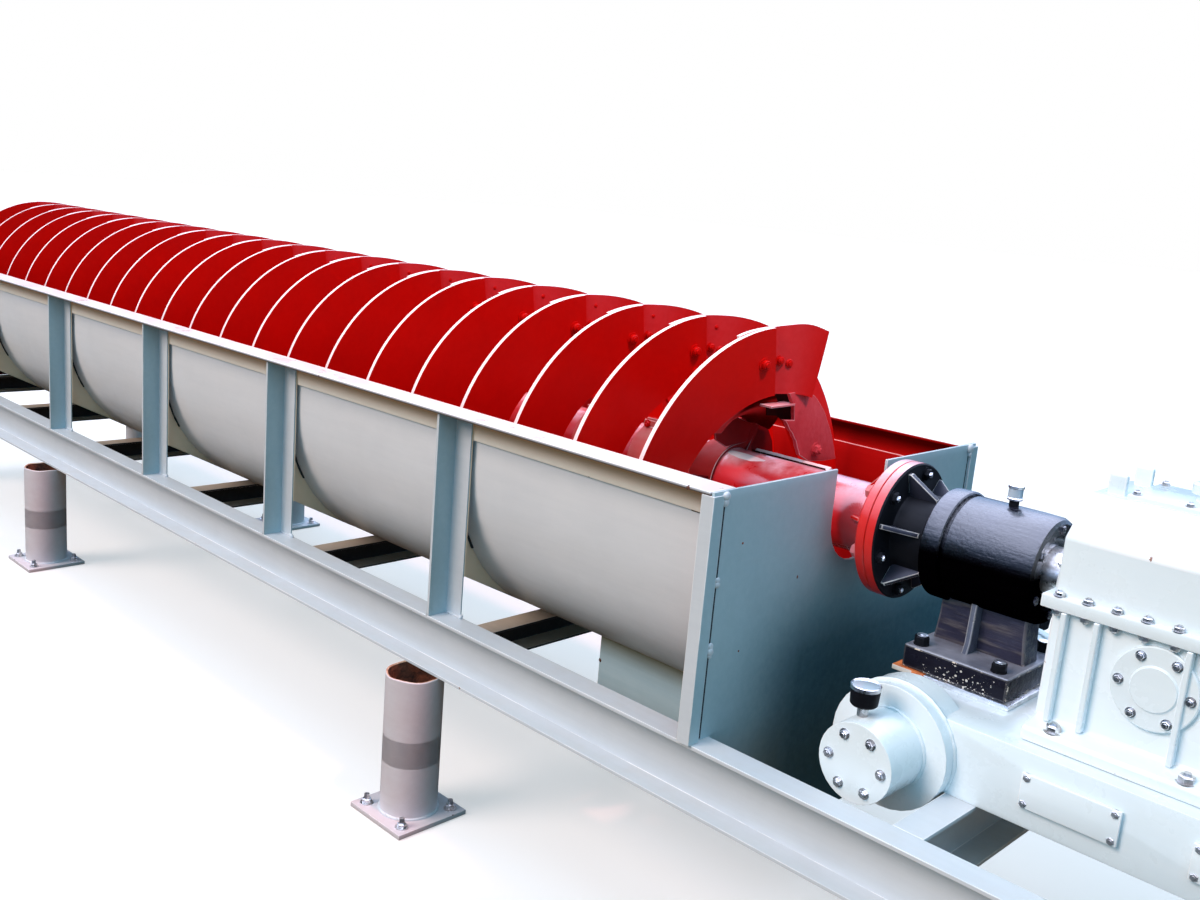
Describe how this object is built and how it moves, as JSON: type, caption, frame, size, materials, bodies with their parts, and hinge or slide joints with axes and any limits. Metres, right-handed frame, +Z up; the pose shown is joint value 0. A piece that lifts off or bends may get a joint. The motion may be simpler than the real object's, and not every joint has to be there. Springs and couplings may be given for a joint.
{
  "type": "spiral sand washer",
  "caption": "Spiral sand washer: open round-bottomed trough on pipe legs with a bolted spiral on a shaft, driven through a flanged coupling at its upper end.",
  "frame": {"origin": "on the ground under the middle of the machine's box", "axes": "+X along the trough from the tail to the drive, +Y across it to the far side, +Z up"},
  "size_m": [5.815, 1.21, 1.269],
  "materials": {
    "frame_paint": "light grey gloss paint",
    "spiral_paint": "red gloss paint",
    "black_paint": "black gloss paint on castings",
    "drive_paint": "pale blue-white paint",
    "rusty_steel": "bare rusty steel",
    "bright_steel": "dull bright steel"
  },
  "bodies": {
    "frame": {"trough_shell": "frame_paint", "rim_angle_near": "frame_paint", "rim_angle_far": "frame_paint", "side_beam_near": "frame_paint", "side_beam_far": "frame_paint", "post_near_1": "frame_paint", "post_near_2": "frame_paint", "post_near_3": "frame_paint", "post_near_4": "frame_paint", "post_near_5": "frame_paint", "post_far_1": "frame_paint", "post_far_2": "frame_paint", "post_far_3": "frame_paint", "post_far_4": "frame_paint", "post_far_5": "frame_paint", "cross_member_1": "frame_paint", "cross_member_2": "frame_paint", "cross_member_3": "frame_paint", "cross_member_4": "frame_paint", "cross_member_5": "frame_paint", "cross_member_6": "frame_paint", "drive_cross_member_1": "frame_paint", "drive_cross_member_2": "frame_paint", "leg_near_1": "frame_paint", "leg_near_2": "frame_paint", "leg_near_3": "frame_paint", "leg_near_4": "frame_paint", "leg_far_1": "frame_paint", "leg_far_2": "frame_paint", "leg_far_3": "frame_paint", "leg_far_4": "frame_paint", "drive_end_plate": "frame_paint", "tail_end_plate": "frame_paint", "corner_angle_drive_near": "frame_paint", "corner_angle_drive_far": "frame_paint", "corner_angle_tail_near": "frame_paint", "corner_angle_tail_far": "frame_paint", "discharge_chute": "frame_paint", "drive_base": "drive_paint", "gear_unit": "drive_paint", "motor": "drive_paint", "bearing_housing": "black_paint", "oil_cup_near": "black_paint", "oil_cup_far": "black_paint", "tail_bearing": "black_paint", "bearing_shim": "rusty_steel", "grease_cup": "bright_steel"},
    "screw": {"screw_shaft": "spiral_paint", "flight_a": "spiral_paint", "flight_b": "spiral_paint", "tube_flange": "spiral_paint", "coupling_flange": "black_paint"}
  },
  "joints": [
    {"name": "screw_spin", "type": "hinge", "parent": "frame", "child": "screw", "pos_m": [0, 0, 0.888], "axis": [1, 0, 0], "continuous": true}
  ]
}
